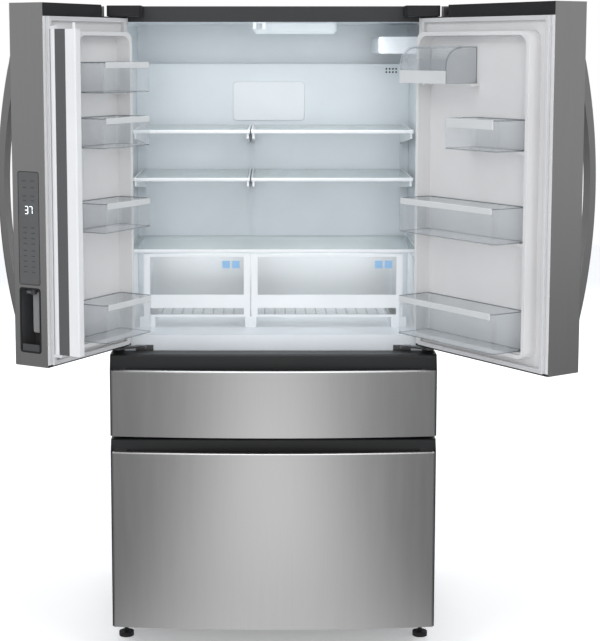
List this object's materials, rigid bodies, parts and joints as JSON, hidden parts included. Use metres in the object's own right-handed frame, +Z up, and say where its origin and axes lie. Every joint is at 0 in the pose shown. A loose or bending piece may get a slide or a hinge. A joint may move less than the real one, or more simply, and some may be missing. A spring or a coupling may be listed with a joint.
{
  "type": "french door refrigerator",
  "caption": "French door refrigerator with unequal bowed steel doors swung open, edge dispenser, door bins, glass shelves, crispers, flip mullion, and two pull-out drawers below.",
  "frame": {"origin": "on the floor under the middle of the case", "axes": "+X to the right seen from the front, +Y to the back, +Z up"},
  "size_m": [1.5445, 1.1194, 1.812],
  "materials": {
    "stainless": "upright brushed, clear coated",
    "handle_steel": "satin",
    "case_grey": "satin textured paint",
    "frame_grey": "satin paint",
    "foam": "rigid polyurethane foam",
    "liner_white": "moulded, satin gloss",
    "door_liner": "moulded, satin gloss",
    "white_plastic": "moulded, satin gloss",
    "clear_plastic": "clear moulded plastic",
    "shelf_glass": "clear tempered glass",
    "gasket": "soft magnetic seal",
    "dark_plastic": "moulded, matt",
    "panel_grey": "moulded, satin",
    "control_film": "smooth film",
    "paddle_grey": "moulded, satin",
    "mullion_grey": "satin paint",
    "rail_grey": "moulded, satin",
    "zinc": "zinc plated steel sheet",
    "galvanised": "galvanised sheet",
    "copper": "copper tube",
    "compressor_black": "gloss paint",
    "light_lens": "frosted lens",
    "tyre_rubber": "hard rubber",
    "nylon": "moulded"
  },
  "bodies": {
    "cabinet": {"outer_case": "case_grey", "front_frame": "frame_grey", "cabinet_insulation": "foam", "fresh_food_liner": "liner_white", "drawer_liners": "liner_white", "base_pan": "galvanised", "machine_cover": "galvanised", "compressor": "compressor_black", "condenser_coil": "copper", "condenser_fan_motor": "dark_plastic", "duct_cover": "white_plastic", "air_filter_cover": "white_plastic", "evaporator_coil": "zinc", "light_cover": "light_lens", "water_filter_housing": "white_plastic", "shelf_frames": "white_plastic", "shelf_glass": "shelf_glass", "crisper_runners": "white_plastic", "door_hinges": "zinc", "hinge_covers": "dark_plastic", "drawer_rails": "zinc", "water_inlet_fitting": "nylon", "front_feet": "dark_plastic"},
    "condenser_fan": {"condenser_fan": "dark_plastic"},
    "rear_rollers": {"rear_rollers": "tyre_rubber"},
    "left_door": {"left_door_skin": "stainless", "left_door_caps": "dark_plastic", "left_door_liner": "door_liner", "left_door_gasket": "gasket", "left_door_handle": "handle_steel", "left_door_bins": "clear_plastic", "left_bin_rails": "rail_grey", "control_panel": "control_film", "dispenser_niche": "panel_grey"},
    "dispenser_paddle": {"dispenser_paddle": "paddle_grey"},
    "mullion": {"mullion_body": "door_liner", "mullion_plate": "mullion_grey"},
    "right_door": {"right_door_skin": "stainless", "right_door_caps": "dark_plastic", "right_door_liner": "door_liner", "right_door_gasket": "gasket", "right_door_handle": "handle_steel", "right_door_bins": "clear_plastic", "right_bin_rails": "rail_grey", "dairy_bin": "clear_plastic"},
    "dairy_lid": {"dairy_lid": "clear_plastic"},
    "flex_drawer": {"flex_drawer_skin": "stainless", "flex_drawer_panel": "panel_grey", "flex_drawer_gasket": "gasket", "flex_drawer_basket": "white_plastic"},
    "flex_slides": {"flex_slides": "zinc"},
    "freezer_drawer": {"freezer_drawer_skin": "stainless", "freezer_drawer_panel": "panel_grey", "freezer_drawer_gasket": "gasket", "freezer_drawer_basket": "white_plastic"},
    "freezer_slides": {"freezer_slides": "zinc"},
    "left_crisper": {"left_crisper_pan": "clear_plastic", "left_crisper_front": "white_plastic"},
    "right_crisper": {"right_crisper_pan": "clear_plastic", "right_crisper_front": "white_plastic"}
  },
  "joints": [
    {"name": "left_door_hinge", "type": "hinge", "parent": "cabinet", "child": "left_door", "pos_m": [-0.434, -0.352, 0.872], "axis": [0, 0, -1], "range_deg": [-120, 6]},
    {"name": "right_door_hinge", "type": "hinge", "parent": "cabinet", "child": "right_door", "pos_m": [0.434, -0.352, 0.872], "axis": [0, 0, 1], "range_deg": [-124, 2]},
    {"name": "mullion_flip", "type": "hinge", "parent": "left_door", "child": "mullion", "pos_m": [-0.55448, -0.66927, 1.3], "axis": [0, 0, 1], "range_deg": [-90, 4.5]},
    {"name": "dispenser_lever", "type": "hinge", "parent": "left_door", "child": "dispenser_paddle", "pos_m": [-0.6178, -0.62116, 1.063], "axis": [0.866, -0.5, 0], "range_deg": [0, 10], "stiffness_Nm_per_rad": 0.4},
    {"name": "dairy_lid_hinge", "type": "hinge", "parent": "right_door", "child": "dairy_lid", "pos_m": [0.44095, -0.50894, 1.6983], "axis": [-0.5592, 0.829, 0], "range_deg": [0, 80]},
    {"name": "flex_drawer_slide", "type": "slide", "parent": "cabinet", "child": "flex_drawer", "axis": [0, -1, 0], "range_m": [0, 0.4]},
    {"name": "flex_slide_run", "type": "slide", "parent": "cabinet", "child": "flex_slides", "axis": [0, -1, 0], "range_m": [0, 0.2]},
    {"name": "freezer_drawer_slide", "type": "slide", "parent": "cabinet", "child": "freezer_drawer", "axis": [0, -1, 0], "range_m": [0, 0.4]},
    {"name": "freezer_slide_run", "type": "slide", "parent": "cabinet", "child": "freezer_slides", "axis": [0, -1, 0], "range_m": [0, 0.2]},
    {"name": "left_crisper_slide", "type": "slide", "parent": "cabinet", "child": "left_crisper", "axis": [0, -1, 0], "range_m": [0, 0.21]},
    {"name": "right_crisper_slide", "type": "slide", "parent": "cabinet", "child": "right_crisper", "axis": [0, -1, 0], "range_m": [0, 0.21]},
    {"name": "rear_roller_spin", "type": "hinge", "parent": "cabinet", "child": "rear_rollers", "pos_m": [0, 0.27, 0.018], "axis": [1, 0, 0], "continuous": true},
    {"name": "condenser_fan_spin", "type": "hinge", "parent": "cabinet", "child": "condenser_fan", "pos_m": [0.033, 0.2245, 0.136], "axis": [1, 0, 0], "continuous": true}
  ],
  "couplings": [
    {"joint": "mullion_flip", "follows": "left_door_hinge", "ratio": 0.75},
    {"joint": "flex_slide_run", "follows": "flex_drawer_slide", "ratio": 0.5},
    {"joint": "freezer_slide_run", "follows": "freezer_drawer_slide", "ratio": 0.5}
  ]
}
